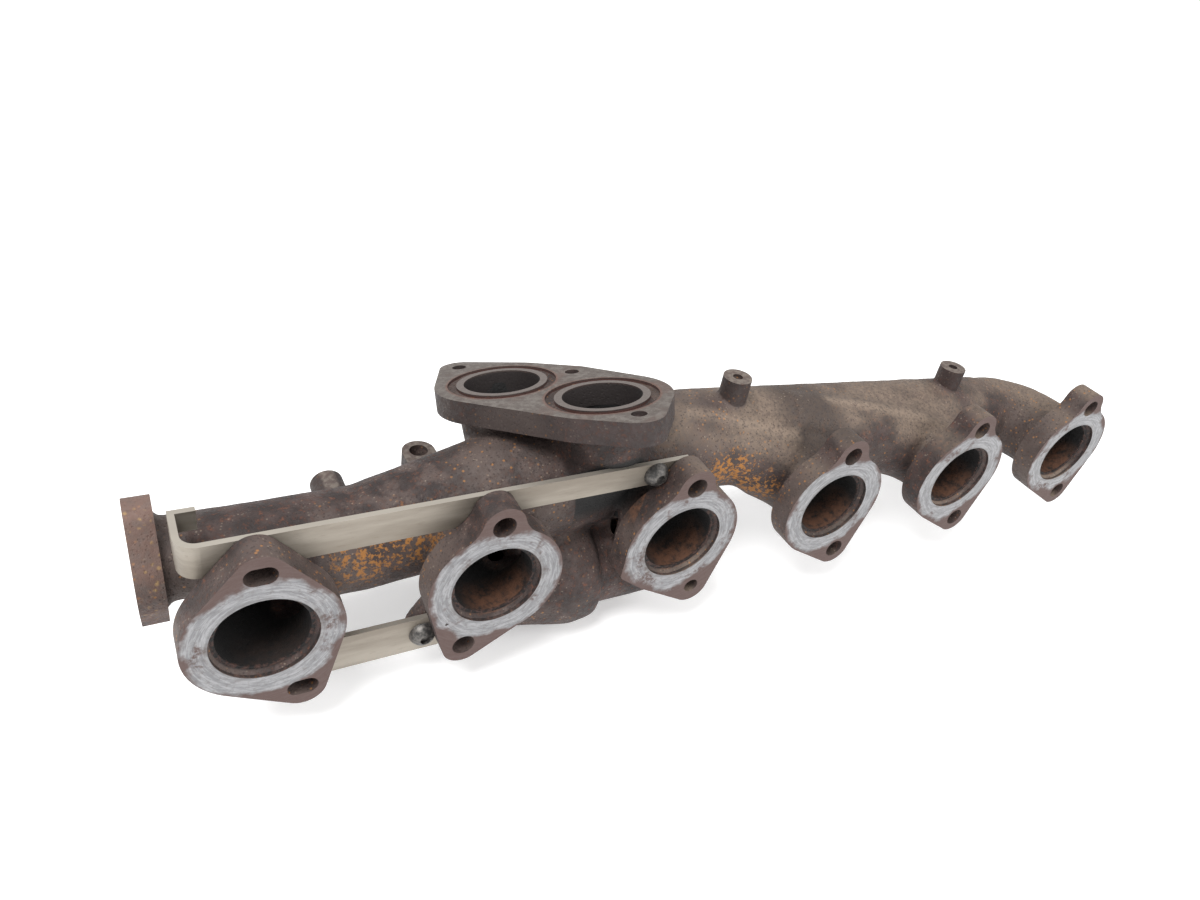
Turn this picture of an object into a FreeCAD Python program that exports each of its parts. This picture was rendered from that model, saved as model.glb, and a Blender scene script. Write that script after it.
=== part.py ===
"""Exhaust manifold of a straight-six diesel engine, with a twin-outlet turbo flange.

Millimetres. The origin is the centre of port 1 on the gasket plane. +X runs along the row of ports,
+Y points away from the cylinder head and +Z is up. Every port face lies on the plane Y = 0.

The iron body is one casting on the real engine. Here it is divided into named sections that meet face to
face: port flanges, runners, logs, collector, chamber, necks, end flanges and bosses. Each section's gas
passage is cut by the same passage solid, so the inside is open from every port to both turbo outlets.
"""
import FreeCAD
import Part
import Sketcher
import math
import os
import re

SIZES = {
    # port faces
    "port_pitch": (91.0, "distance between neighbouring ports"),
    "port_bore_radius": (19.85, "gas port in the port flange"),
    "flange_thickness": (12.0, "port flange"),
    "flange_body_radius": (29.5, "round part of a port flange"),
    "flange_lobe_radius": (9.3, "ears round the bolt holes"),
    "flange_waist_radius": (14.0, "hollow between the upper ear and the round part"),
    "corner_aside": (26.0, "port 3's extra corner, beside the port centre"),
    "corner_down": (12.0, "port 3's extra corner, below the port centre"),
    "corner_radius": (4.0, "port 3's extra corner"),
    "bolt_up": (31.3, "upper bolt hole, above the port centre"),
    "bolt_down": (31.0, "lower bolt hole, below the port centre"),
    "bolt_aside": (12.4, "lower bolt hole, beside the port centre"),
    "bolt_hole_radius": (5.0, "clearance hole for a port stud"),
    "small_hole_radius": (3.75, "lower hole of port 3"),
    "slot_half_width": (4.0, "port 1 slots"),
    "slot_half_reach": (2.0, "half the distance between a slot's end centres"),
    # pipes
    "port_passage_radius": (17.25, "gas passage behind the port seat"),
    "port_seat_depth": (3.5, "port seat in the flange face"),
    "wall": (4.5, "casting wall"),
    "runner_radius": (21.75, "outside of a runner"),
    "runner_flare": (24.5, "outside of a runner where it meets its flange"),
    "flare_length": (3.0, "flared start of a runner"),
    "runner_bend": (23.0, "centreline radius of a runner's bend"),
    "runner_turn": (60.0, "degrees runners 1 to 3 bend before they meet the log"),
    "tail_turn": (84.0, "degrees runners 4 and 5 bend"),
    "near_rise": (22.0, "degrees the tail of runner 4 climbs"),
    "far_rise": (13.5, "degrees the tail of runner 5 climbs"),
    "near_length": (50.0, "tail of runner 4"),
    "far_length": (82.0, "tail of runner 5"),
    "near_end_radius": (10.0, "where runner 4's tail sinks into the log"),
    "far_end_radius": (15.5, "where runner 5's tail sinks into the log"),
    "elbow_bend": (28.0, "centreline radius of runner 6's bend"),
    "elbow_lead": (8.0, "straight part of runner 6 on either side of its bend"),
    "short_tail": (4.0, "tails of runners 1 to 3, inside the log"),
    # left log, collector and right log: points on one line of pipes
    "log_start": (-18.0, "closed left end of the log"),
    "log_kink": (45.0, "where the left log starts to climb"),
    "log_back": (45.0, "left log axis behind the port faces"),
    "log_radius": (22.5, "left log"),
    "collector_start": (118.0, "left end of the collector"),
    "collector_start_back": (47.0, "axis at the collector's left end"),
    "collector_start_up": (11.0, "axis at the collector's left end"),
    "collector_start_radius": (28.0, "collector's left end"),
    "collector_finish": (211.0, "right end of the collector"),
    "collector_finish_back": (53.5, "axis at the collector's right end"),
    "collector_finish_up": (15.5, "axis at the collector's right end"),
    "collector_finish_radius": (26.0, "collector's right end"),
    "right_log_back": (51.0, "axis of the right log behind the port faces"),
    "right_log_radius": (22.6, "right log where it meets runner 6"),
    # lower chamber
    "chamber_back": (34.0, "chamber axis behind the port faces"),
    "chamber_down": (33.0, "chamber axis below the ports"),
    "chamber_start": (97.0, "left end"),
    "chamber_start_radius": (19.5, "left end"),
    "chamber_belly": (137.0, "widest point"),
    "chamber_belly_radius": (28.0, "widest point"),
    "chamber_step": (150.0, "step down to the right end"),
    "chamber_step_radius": (26.5, "just left of the step"),
    "chamber_finish": (184.0, "right end"),
    "chamber_finish_radius": (21.5, "right end"),
    # turbo flange, in its own plane
    "turbo_thickness": (10.5, "turbo flange plate"),
    "outlet_reach": (26.95, "a turbo outlet from the middle of the plate"),
    "outlet_body_radius": (31.0, "plate round an outlet"),
    "outlet_bore_radius": (17.6, "turbo outlet"),
    "rim_radius": (21.0, "raised rim round an outlet"),
    "recess_radius": (25.0, "seal recess round an outlet"),
    "recess_depth": (2.6, "seal recess"),
    "turbo_ear_radius": (9.5, "plate round the left and rear stud holes"),
    "turbo_corner_radius": (11.0, "plate round the right stud hole"),
    "turbo_thread_radius": (3.4, "core of a turbo stud thread"),
    "turbo_left_x": (-61.1, "left stud hole"),
    "turbo_left_y": (10.9, "left stud hole"),
    "turbo_back_x": (-4.4, "rear stud hole"),
    "turbo_back_y": (24.8, "rear stud hole"),
    "turbo_right_x": (53.4, "right stud hole"),
    "turbo_right_y": (-15.3, "right stud hole"),
    "turbo_x": (135.5, "middle of the plate's face"),
    "turbo_back": (60.5, "middle of the plate's face"),
    "turbo_up": (52.4, "middle of the plate's face"),
    "turbo_yaw": (-57.95, "degrees the plate turns about the vertical"),
    "turbo_pitch": (-17.28, "degrees the plate's right end is raised"),
    "turbo_roll": (-5.37, "degrees the plate rolls about its long axis"),
    "neck_radius": (21.4, "outside of a neck at the plate"),
    "neck_bend": (22.5, "centreline radius of a neck's bend"),
    "neck_foot_radius": (24.0, "outside of a neck in the collector"),
    "neck_left_x": (124.0, "foot of the left neck"),
    "neck_right_x": (150.0, "foot of the right neck"),
    "neck_foot_up": (8.0, "feet of the necks"),
    # EGR flange
    "egr_face": (-39.3, "outer face"),
    "egr_thickness": (10.0, "plate"),
    "egr_back": (50.0, "axis behind the port faces"),
    "egr_up": (3.5, "axis above the port centres"),
    "egr_body_radius": (20.5, "plate round the pipe"),
    "egr_ear_radius": (9.5, "plate round a bolt hole"),
    "egr_bolt_reach": (20.5, "bolt hole from the pipe axis"),
    "egr_bolt_radius": (4.3, "bolt hole"),
    "egr_bore_radius": (12.5, "pipe bore"),
    "egr_neck_radius": (17.0, "neck between the plate and the log"),
    # bosses
    "boss_radius": (7.2, "tapped boss on top of the log"),
    "boss_thread_radius": (2.5, "core of the boss thread"),
    "boss_thread_depth": (11.0, "tapped depth"),
    "boss_back": (50.0, "tapped bosses behind the port faces"),
    "boss_left_x": (232.0, "left boss"),
    "boss_left_top": (52.0, "left boss"),
    "boss_right_x": (389.6, "right boss"),
    "boss_right_top": (38.0, "right boss"),
    "boss_height": (26.0, "boss, down into the log"),
    # brackets and their bolts
    "sheet": (2.5, "bracket sheet"),
    "bracket_front": (12.4, "front of the brackets, just behind the flanges"),
    "strip_top": (38.9, "upper strip"),
    "strip_left_bottom": (24.4, "upper strip, left of port 2"),
    "strip_right_bottom": (27.6, "upper strip, right of port 2"),
    "strip_end": (184.0, "right end of the upper strip"),
    "strip_left": (-25.4, "outer face of the turned-back end"),
    "strip_return": (35.0, "how far back the end reaches"),
    "strip_bend": (8.0, "outer bend radius"),
    "strip_tab": (7.0, "length of the tab at the back of the turned end"),
    "strip_tab_bottom": (30.0, "lower edge of the tab"),
    "lower_top": (-22.8, "lower strip"),
    "lower_bottom": (-41.0, "lower strip"),
    "lower_start": (4.0, "left end of the lower strip"),
    "lower_end": (72.0, "right end of the lower strip"),
    "bolt_head_radius": (5.9, "dome head"),
    "bolt_head_height": (5.0, "dome head"),
    "bolt_shank_radius": (3.0, "bracket bolt"),
    "socket_radius": (2.3, "socket in a dome head"),
    "socket_depth": (2.2, "socket in a dome head"),
    "bolt_length": (11.0, "shank under the head"),
    "upper_bolt_x": (167.3, "upper bracket bolt"),
    "upper_bolt_z": (33.2, "upper bracket bolt"),
    "lower_bolt_x": (64.6, "lower bracket bolt"),
    "lower_bolt_z": (-31.6, "lower bracket bolt"),
    "pad_radius": (7.5, "upper pad, that a bracket bolt screws into"),
    "pad_end": (34.0, "rear of the upper pad"),
    "lower_pad_radius": (5.5, "lower pad, kept clear of the nut on port 2's lower stud"),
    "lower_pad_end": (24.0, "rear of the lower pad"),
    "pad_root_x": (75.0, "where the lower pad joins runner 2"),
    "pad_root_z": (-16.0, "where the lower pad joins runner 2"),
    # rear fittings
    "lug_x": (83.0, "rear lug"),
    "lug_back": (80.5, "rear lug behind the port faces"),
    "lug_top": (13.4, "rear lug"),
    "lug_height": (18.0, "rear lug"),
    "lug_radius": (7.6, "rear lug"),
    "lug_hole_radius": (4.25, "clearance hole in the rear lug"),
    "lug_root": (64.0, "where the lug joins the log"),
    "rear_boss_x": (41.0, "rear boss"),
    "rear_boss_z": (3.4, "rear boss"),
    "rear_boss_radius": (7.2, "rear boss"),
    "rear_boss_end": (80.0, "end face of the rear boss"),
    "rear_boss_length": (18.0, "rear boss, into the log wall"),
    "plug_radius": (5.0, "plug thread"),
    "plug_depth": (9.0, "plug thread"),
    "plug_head_radius": (7.0, "plug head"),
    "plug_head": (4.0, "plug head"),
}

doc = FreeCAD.newDocument("exhaust_manifold")
sheet = doc.addObject("Spreadsheet::Sheet", "Sizes")
for row, (alias, (value, note)) in enumerate(SIZES.items(), start=1):
    sheet.set("A%d" % row, alias)
    sheet.set("B%d" % row, str(value))
    sheet.setAlias("B%d" % row, alias)
    sheet.set("C%d" % row, note)
doc.recompute()

X_AXIS = FreeCAD.Vector(1, 0, 0)
Y_AXIS = FreeCAD.Vector(0, 1, 0)
Z_AXIS = FreeCAD.Vector(0, 0, 1)
SUBPARTS = []


def size(alias):
    """A driving dimension, read back from the sheet."""
    return float(sheet.get(alias))


def bind(obj, **expressions):
    """Bind properties to formulas written with the sheet's aliases. Double underscores stand for dots."""
    for name, formula in expressions.items():
        bound = re.sub("[a-z_]+", lambda word: "Sizes." + word[0] if word[0] in SIZES else word[0], formula)
        obj.setExpression(name.replace("__", "."), bound)
    return obj


def place(obj, x, y, z):
    """Put an object at a position given as three formulas."""
    return bind(obj, Placement__Base__x=x, Placement__Base__y=y, Placement__Base__z=z)


def subpart(obj, label):
    """Give an object the name of its node and list it for export."""
    obj.Label = label
    SUBPARTS.append(obj)
    return obj


def facing(direction):
    """The rotation that turns +Z to a direction."""
    return FreeCAD.Rotation(Z_AXIS, direction)


# ---------------------------------------------------------------- sketches

def plane(body, role):
    """One of a body's own origin planes."""
    return next(feature for feature in body.Origin.OriginFeatures if feature.Role == role)


def sketch_on(body, role, name):
    sketch = body.newObject("Sketcher::SketchObject", name)
    sketch.AttachmentSupport = [(plane(body, role), "")]
    sketch.MapMode = "FlatFace"
    return sketch


def fix(sketch, kind, *where, formula):
    """Add a driving dimension to a sketch and bind it to a formula."""
    index = sketch.addConstraint(Sketcher.Constraint(kind, *where))
    sketch.renameConstraint(index, "d%d" % index)
    bind(sketch, **{"Constraints__d%d" % index: formula})


def fix_centre(sketch, curve, x, y):
    """Hold a curve's centre at two formulas; a formula of 0 keeps it on the axis."""
    for kind, axis, formula, read in (("DistanceX", -2, x, "x"), ("DistanceY", -1, y, "y")):
        if formula == "0":
            sketch.addConstraint(Sketcher.Constraint("PointOnObject", curve, 3, axis))
        else:
            value = getattr(sketch.Geometry[curve].Center, read)
            fix(sketch, kind, -1, 1, curve, 3, value, formula=formula)


def evaluate(formula):
    """The value of a simple formula, for a sketch's starting geometry."""
    terms = formula.split()
    total = 0.0
    sign = 1.0
    for term in terms:
        if term in "+-":
            sign = 1.0 if term == "+" else -1.0
            continue
        value = size(term) if term in SIZES else float(term)
        total += sign * value
        sign = 1.0
    return total


def add_circle(sketch, x, y, radius):
    centre = FreeCAD.Vector(evaluate(x), evaluate(y), 0)
    curve = sketch.addGeometry(Part.Circle(centre, Z_AXIS, evaluate(radius)))
    fix(sketch, "Radius", curve, evaluate(radius), formula=radius)
    fix_centre(sketch, curve, x, y)


def unit(angle):
    return FreeCAD.Vector(math.cos(angle), math.sin(angle), 0)


def add_arc(sketch, centre, radius, start, end):
    circle = Part.Circle(centre, Z_AXIS, radius)
    return sketch.addGeometry(Part.ArcOfCircle(circle, start, end))


def add_outline(sketch, discs):
    """A closed outline round discs taken anticlockwise.

    Each disc is (x, y, radius, waist), as formulas. Neighbouring discs are joined by their common tangent,
    or, where the first of them names a waist, by a hollow arc of that radius.
    """
    centres = [FreeCAD.Vector(evaluate(x), evaluate(y), 0) for x, y, radius, waist in discs]
    radii = [evaluate(radius) for x, y, radius, waist in discs]
    joints = []
    for i, (x, y, radius, waist) in enumerate(discs):
        j = (i + 1) % len(discs)
        step = centres[j] - centres[i]
        heading = math.atan2(step.y, step.x)
        if waist is None:
            leave = heading - math.acos((radii[i] - radii[j]) / step.Length)
            joints.append((leave, leave, None))
            continue
        hollow = evaluate(waist)
        near = radii[i] + hollow
        far = radii[j] + hollow
        turn = math.acos((near**2 + step.Length**2 - far**2) / (2 * near * step.Length))
        leave = heading - turn
        middle = centres[i] + unit(leave) * near
        back = middle - centres[j]
        joints.append((leave, math.atan2(back.y, back.x), middle))
    arcs = []
    for i, (x, y, radius, waist) in enumerate(discs):
        start = joints[i - 1][1]
        end = joints[i][0]
        arc = add_arc(sketch, centres[i], radii[i], start, end + 2 * math.pi * (end < start))
        fix(sketch, "Radius", arc, radii[i], formula=radius)
        fix_centre(sketch, arc, x, y)
        arcs.append(arc)
    for i, (x, y, radius, waist) in enumerate(discs):
        j = (i + 1) % len(discs)
        leave, arrive, middle = joints[i]
        if middle is None:
            first = centres[i] + unit(leave) * radii[i]
            last = centres[j] + unit(leave) * radii[j]
            edge = sketch.addGeometry(Part.LineSegment(first, last))
            sketch.addConstraint(Sketcher.Constraint("Tangent", arcs[i], 2, edge, 1))
            sketch.addConstraint(Sketcher.Constraint("Tangent", edge, 2, arcs[j], 1))
            continue
        edge = add_arc(sketch, middle, evaluate(waist), arrive + math.pi, leave + math.pi)
        fix(sketch, "Radius", edge, evaluate(waist), formula=waist)
        sketch.addConstraint(Sketcher.Constraint("Tangent", arcs[i], 2, edge, 2))
        sketch.addConstraint(Sketcher.Constraint("Tangent", edge, 1, arcs[j], 1))


def pad(body, sketch, name, length, reverse=False):
    feature = body.newObject("PartDesign::Pad", name)
    feature.Profile = sketch
    feature.Reversed = reverse
    bind(feature, Length=length)
    doc.recompute()
    return feature


def pocket(body, sketch, name, length=None, reverse=False):
    """Cut a sketch into a body, right through where no length is given, and make sure that it cuts."""
    before = body.Shape.Volume
    feature = body.newObject("PartDesign::Pocket", name)
    feature.Profile = sketch
    feature.Reversed = reverse
    if length is None:
        feature.Type = "ThroughAll"
        feature.Midplane = True
    else:
        bind(feature, Length=length)
    doc.recompute()
    if body.Shape.Volume >= before - 1.0:
        raise RuntimeError(body.Label + ": " + name + " cuts nothing")
    return feature


# ---------------------------------------------------------------- port flanges

def add_slot(sketch, x, y):
    """A slot along X with round ends."""
    middle = FreeCAD.Vector(evaluate(x), evaluate(y), 0)
    reach = FreeCAD.Vector(size("slot_half_reach"), 0, 0)
    rise = FreeCAD.Vector(0, size("slot_half_width"), 0)
    right = add_arc(sketch, middle + reach, rise.y, -math.pi / 2, math.pi / 2)
    left = add_arc(sketch, middle - reach, rise.y, math.pi / 2, 3 * math.pi / 2)
    top = sketch.addGeometry(Part.LineSegment(middle + reach + rise, middle - reach + rise))
    bottom = sketch.addGeometry(Part.LineSegment(middle - reach - rise, middle + reach - rise))
    for first, first_end, second, second_end in ((right, 2, top, 1), (top, 2, left, 1),
                                                 (left, 2, bottom, 1), (bottom, 2, right, 1)):
        sketch.addConstraint(Sketcher.Constraint("Tangent", first, first_end, second, second_end))
    fix(sketch, "Radius", right, rise.y, formula="slot_half_width")
    sketch.addConstraint(Sketcher.Constraint("Equal", right, left))
    fix_centre(sketch, right, x + " + slot_half_reach", y)
    fix_centre(sketch, left, x + " - slot_half_reach", y)


def port_flange(number):
    """A plate with an ear above the port and one below it, to the right, or to the left on port 2.

    Port 3 has one more corner, at its lower left.
    """
    body = doc.addObject("PartDesign::Body", "PortFlange%d" % number)
    place(body, "port_pitch * %d" % (number - 1), "0", "0")
    aside = "- bolt_aside" if number == 2 else "bolt_aside"
    waist = None if number == 1 else "flange_waist_radius"
    discs = [(aside, "- bolt_down", "flange_lobe_radius", None),
             ("0", "0", "flange_body_radius", waist),
             ("0", "bolt_up", "flange_lobe_radius", waist),
             ("0", "0", "flange_body_radius", None)]
    if number == 3:
        discs += [("- corner_aside", "- corner_down", "corner_radius", None),
                  ("0", "0", "flange_body_radius", None)]
    outline = sketch_on(body, "XZ_Plane", "FlangeOutline%d" % number)
    add_outline(outline, discs)
    pad(body, outline, "FlangePlate%d" % number, "flange_thickness", reverse=True)
    seat = sketch_on(body, "XZ_Plane", "PortSeat%d" % number)
    add_circle(seat, "0", "0", "port_bore_radius")
    pocket(body, seat, "PortSeatCut%d" % number, "port_seat_depth")
    holes = sketch_on(body, "XZ_Plane", "FlangeHoles%d" % number)
    add_circle(holes, "0", "0", "port_passage_radius")
    if number == 1:
        add_slot(holes, "0", "bolt_up")
        add_slot(holes, "bolt_aside", "- bolt_down")
    else:
        lower = "small_hole_radius" if number == 3 else "bolt_hole_radius"
        add_circle(holes, "0", "bolt_up", "bolt_hole_radius")
        add_circle(holes, aside, "- bolt_down", lower)
    pocket(body, holes, "FlangeCut%d" % number)
    return subpart(body, "port_flange_%d" % number)


# ---------------------------------------------------------------- solids

def cylinder(name, radius, height, start, direction):
    feature = doc.addObject("Part::Cylinder", name)
    feature.Placement = FreeCAD.Placement(start, facing(direction))
    return bind(feature, Radius=radius, Height=height)


def cone(name, start, start_radius, finish, finish_radius):
    """A tapered bar between two points."""
    feature = doc.addObject("Part::Cone", name)
    feature.Placement = FreeCAD.Placement(start, facing(finish - start))
    feature.Height = (finish - start).Length
    return bind(feature, Radius1=start_radius, Radius2=finish_radius)


def taper(name, start, start_radius, finish, finish_radius):
    """A tapered bar whose ends both face along X, so that neighbouring bars share their end circles."""
    rings = []
    for end, (centre, radius) in enumerate(((start, start_radius), (finish, finish_radius))):
        ring = doc.addObject("Part::Circle", "%sRing%d" % (name, end))
        ring.Placement = FreeCAD.Placement(centre, facing(X_AXIS))
        rings.append(bind(ring, Radius=radius))
    bar = doc.addObject("Part::Loft", name)
    bar.Sections = rings
    bar.Solid = True
    bar.Ruled = True
    return bar


def elbow(name, bend, radius, middle, along, aside, turn):
    """A bend about a middle point, from one direction towards another at right angles to it."""
    feature = doc.addObject("Part::Torus", name)
    feature.Angle3 = math.degrees(turn)
    turned = FreeCAD.Rotation(-aside, along, -aside.cross(along), "XYZ")
    feature.Placement = FreeCAD.Placement(middle, turned)
    return bind(feature, Radius1=bend, Radius2=radius)


def fuse(name, shapes):
    feature = doc.addObject("Part::MultiFuse", name)
    feature.Shapes = shapes
    return feature


def cut(name, base, tool):
    feature = doc.addObject("Part::Cut", name)
    feature.Base = base
    feature.Tool = tool
    return feature


def point(x, y, z):
    """A point given as three formulas."""
    return FreeCAD.Vector(evaluate(x), evaluate(y), evaluate(z))


# ---------------------------------------------------------------- runners

RUNNERS = {
    1: {"side": 1, "bend": "runner_bend", "turn": "runner_turn", "tail": "short_tail"},
    2: {"side": 1, "bend": "runner_bend", "turn": "runner_turn", "tail": "short_tail"},
    3: {"side": -1, "bend": "runner_bend", "turn": "runner_turn", "tail": "short_tail"},
    4: {"side": -1, "bend": "runner_bend", "turn": "tail_turn", "tail": "near_length",
        "rise": "near_rise", "end": "near_end_radius"},
    5: {"side": -1, "bend": "runner_bend", "turn": "tail_turn", "tail": "far_length",
        "rise": "far_rise", "end": "far_end_radius"},
    6: {"side": -1, "bend": "elbow_bend", "turn": "90", "tail": "elbow_lead", "lead": "elbow_lead"},
}


def runner(number, name, thinner=""):
    """A flared start behind the port flange, a bend to the side and a tail that sinks into the log."""
    plan = RUNNERS[number]
    rise = math.radians(evaluate(plan.get("rise", "0")))
    turn = math.radians(evaluate(plan["turn"]))
    aside = FreeCAD.Vector(plan["side"] * math.cos(rise), 0, math.sin(rise))
    foot = FreeCAD.Vector((number - 1) * size("port_pitch"), size("flange_thickness"), 0)
    flared = foot + Y_AXIS * size("flare_length")
    bend_start = flared + Y_AXIS * evaluate(plan.get("lead", "0"))
    middle = bend_start + aside * size(plan["bend"])
    outward = Y_AXIS * math.sin(turn) - aside * math.cos(turn)
    bend_end = middle + outward * size(plan["bend"])
    heading = aside * math.sin(turn) + Y_AXIS * math.cos(turn)
    radius = "runner_radius" + thinner
    flare = radius if thinner else "runner_flare"
    end_radius = plan.get("end", "runner_radius") + thinner
    bend = elbow(name + "Bend", plan["bend"], radius, middle, Y_AXIS, aside, turn)
    pieces = [cone(name + "Flare", foot, flare, flared, radius), bend]
    if "lead" in plan:
        pieces.append(cylinder(name + "Lead", radius, plan["lead"], flared, Y_AXIS))
    finish = bend_end + heading * evaluate(plan["tail"])
    pieces.append(cone(name + "Tail", bend_end, radius, finish, end_radius))
    return fuse(name, pieces)


# ---------------------------------------------------------------- turbo flange

def turbo_frame():
    """The frame of the turbo plate: its face is the local XY plane and +Z leaves the plate."""
    turned = FreeCAD.Rotation(size("turbo_yaw"), size("turbo_pitch"), size("turbo_roll"))
    return FreeCAD.Placement(point("turbo_x", "turbo_back", "turbo_up"), turned)


def turbo_flange():
    body = doc.addObject("PartDesign::Body", "TurboFlange")
    body.Placement = turbo_frame()
    outline = sketch_on(body, "XY_Plane", "TurboOutline")
    add_outline(outline, [
        ("outlet_reach", "0", "outlet_body_radius", None),
        ("turbo_back_x", "turbo_back_y", "turbo_ear_radius", None),
        ("- outlet_reach", "0", "outlet_body_radius", None),
        ("turbo_left_x", "turbo_left_y", "turbo_ear_radius", None),
        ("- outlet_reach", "0", "outlet_body_radius", None),
        ("outlet_reach", "0", "outlet_body_radius", None),
        ("turbo_right_x", "turbo_right_y", "turbo_corner_radius", None)])
    pad(body, outline, "TurboPlate", "turbo_thickness", reverse=True)
    recess = sketch_on(body, "XY_Plane", "TurboRecess")
    for side in ("- outlet_reach", "outlet_reach"):
        add_circle(recess, side, "0", "recess_radius")
        add_circle(recess, side, "0", "rim_radius")
    pocket(body, recess, "TurboRecessCut", "recess_depth")
    holes = sketch_on(body, "XY_Plane", "TurboHoles")
    for side in ("- outlet_reach", "outlet_reach"):
        add_circle(holes, side, "0", "outlet_bore_radius")
    for ear in ("left", "back", "right"):
        add_circle(holes, "turbo_%s_x" % ear, "turbo_%s_y" % ear, "turbo_thread_radius")
    pocket(body, holes, "TurboCut")
    return subpart(body, "turbo_flange")


def neck(side, name, thinner=""):
    """A pipe that leaves an outlet's underside squarely and bends to point at the collector's axis."""
    frame = turbo_frame()
    reach = size("outlet_reach") * (1 if side == "right" else -1)
    mouth = frame.multVec(FreeCAD.Vector(reach, 0, -size("turbo_thickness")))
    along = frame.Rotation.multVec(-Z_AXIS)
    route = point("neck_%s_x" % side, "collector_start_back", "neck_foot_up") - mouth
    depth = route.dot(along)
    aside = route - along * depth
    shift = aside.Length
    aside.normalize()
    bend = size("neck_bend")
    turn = math.asin(bend / math.hypot(depth, bend - shift)) - math.atan2(bend - shift, depth)
    middle = mouth + aside * bend
    bend_end = middle + (along * math.sin(turn) - aside * math.cos(turn)) * bend
    radius = "outlet_bore_radius" if thinner else "neck_radius"
    return fuse(name, [elbow(name + "Bend", "neck_bend", radius, middle, along, aside, turn),
                       cone(name + "Tail", bend_end, radius, mouth + route, "neck_foot_radius" + thinner)])


# ---------------------------------------------------------------- logs, collector and chamber

def log_line(name, thinner=""):
    """The left log, the collector and the right log, as bars with their walls or as the passage inside."""
    inset = FreeCAD.Vector(size("wall") if thinner else 0, 0, 0)
    start = point("log_start", "log_back", "0") + inset
    kink = point("log_kink", "log_back", "0")
    left = point("collector_start", "collector_start_back", "collector_start_up")
    right = point("collector_finish", "collector_finish_back", "collector_finish_up")
    last = point("0", "right_log_back", "0") + X_AXIS * (5 * size("port_pitch") - size("elbow_bend"))
    straight = cylinder(name + "Straight", "log_radius" + thinner, "log_kink - log_start", start, X_AXIS)
    if thinner:
        bind(straight, Height="log_kink - log_start - wall")
    climb = taper(name + "Climb", kink, "log_radius" + thinner, left, "collector_start_radius" + thinner)
    middle = taper(name + "Middle", left, "collector_start_radius" + thinner,
                   right, "collector_finish_radius" + thinner)
    tail = taper(name + "Tail", right, "collector_finish_radius" + thinner,
                 last, "right_log_radius" + thinner)
    return {"left": fuse(name + "Left", [straight, climb]), "collector": middle, "right": tail}


def chamber(name, thinner=""):
    """The pot below the collector, between ports 2 and 3."""
    inset = size("wall") if thinner else 0.0
    start = point("chamber_start", "chamber_back", "- chamber_down") + X_AXIS * inset
    belly = point("chamber_belly", "chamber_back", "- chamber_down")
    step = point("chamber_step", "chamber_back", "- chamber_down") - X_AXIS * inset
    finish = point("chamber_finish", "chamber_back", "- chamber_down") - X_AXIS * inset
    widest = "chamber_belly_radius" + thinner
    grow = cone(name + "Grow", start, "chamber_start_radius" + thinner, belly, widest)
    settle = cone(name + "Settle", belly, widest, step, "chamber_step_radius" + thinner)
    end = cylinder(name + "End", "chamber_finish_radius" + thinner, "chamber_finish - chamber_step",
                   step, X_AXIS)
    return fuse(name, [grow, settle, end])


# ---------------------------------------------------------------- EGR end, bosses, pads and lug

def egr_flange():
    """A two-bolt flange whose face looks to the left."""
    body = doc.addObject("PartDesign::Body", "EgrFlange")
    place(body, "egr_face", "egr_back", "egr_up")
    outline = sketch_on(body, "YZ_Plane", "EgrOutline")
    add_outline(outline, [
        ("0", "- egr_bolt_reach", "egr_ear_radius", None),
        ("0", "0", "egr_body_radius", None),
        ("0", "egr_bolt_reach", "egr_ear_radius", None),
        ("0", "0", "egr_body_radius", None)])
    pad(body, outline, "EgrPlate", "egr_thickness")
    holes = sketch_on(body, "YZ_Plane", "EgrHoles")
    add_circle(holes, "0", "0", "egr_bore_radius")
    add_circle(holes, "0", "egr_bolt_reach", "egr_bolt_radius")
    add_circle(holes, "0", "- egr_bolt_reach", "egr_bolt_radius")
    pocket(body, holes, "EgrCut")
    return subpart(body, "egr_flange")


def egr_neck(name, radius):
    start = point("egr_face + egr_thickness", "egr_back", "egr_up")
    return cylinder(name, radius, "log_start - egr_face", start, X_AXIS)


def boss(side):
    top = point("boss_%s_x" % side, "boss_back", "boss_%s_top" % side)
    outside = cylinder("Boss" + side, "boss_radius", "boss_height", top, -Z_AXIS)
    thread = cylinder("BossThread" + side, "boss_thread_radius", "boss_thread_depth", top, -Z_AXIS)
    return cut("BossTapped" + side, outside, thread)


def upper_pad():
    """The boss behind the upper bracket that its bolt screws into."""
    face = point("upper_bolt_x", "bracket_front + sheet", "upper_bolt_z")
    outside = cylinder("UpperPadOutside", "pad_radius", "pad_end - bracket_front - sheet", face, Y_AXIS)
    thread = cylinder("UpperPadThread", "bolt_shank_radius", "bolt_length - sheet", face, Y_AXIS)
    return cut("UpperPad", outside, thread)


def lower_pad():
    """The lug behind the lower bracket, growing out of runner 2."""
    body = doc.addObject("PartDesign::Body", "LowerPad")
    place(body, "0", "bracket_front + sheet", "0")
    outline = sketch_on(body, "XZ_Plane", "LowerPadOutline")
    add_outline(outline, [
        ("lower_bolt_x", "lower_bolt_z", "lower_pad_radius", None),
        ("pad_root_x", "pad_root_z", "lower_pad_radius", None)])
    pad(body, outline, "LowerPadBlock", "lower_pad_end - bracket_front - sheet", reverse=True)
    hole = sketch_on(body, "XZ_Plane", "LowerPadHole")
    add_circle(hole, "lower_bolt_x", "lower_bolt_z", "bolt_shank_radius")
    pocket(body, hole, "LowerPadCut", "bolt_length - sheet")
    return body


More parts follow.
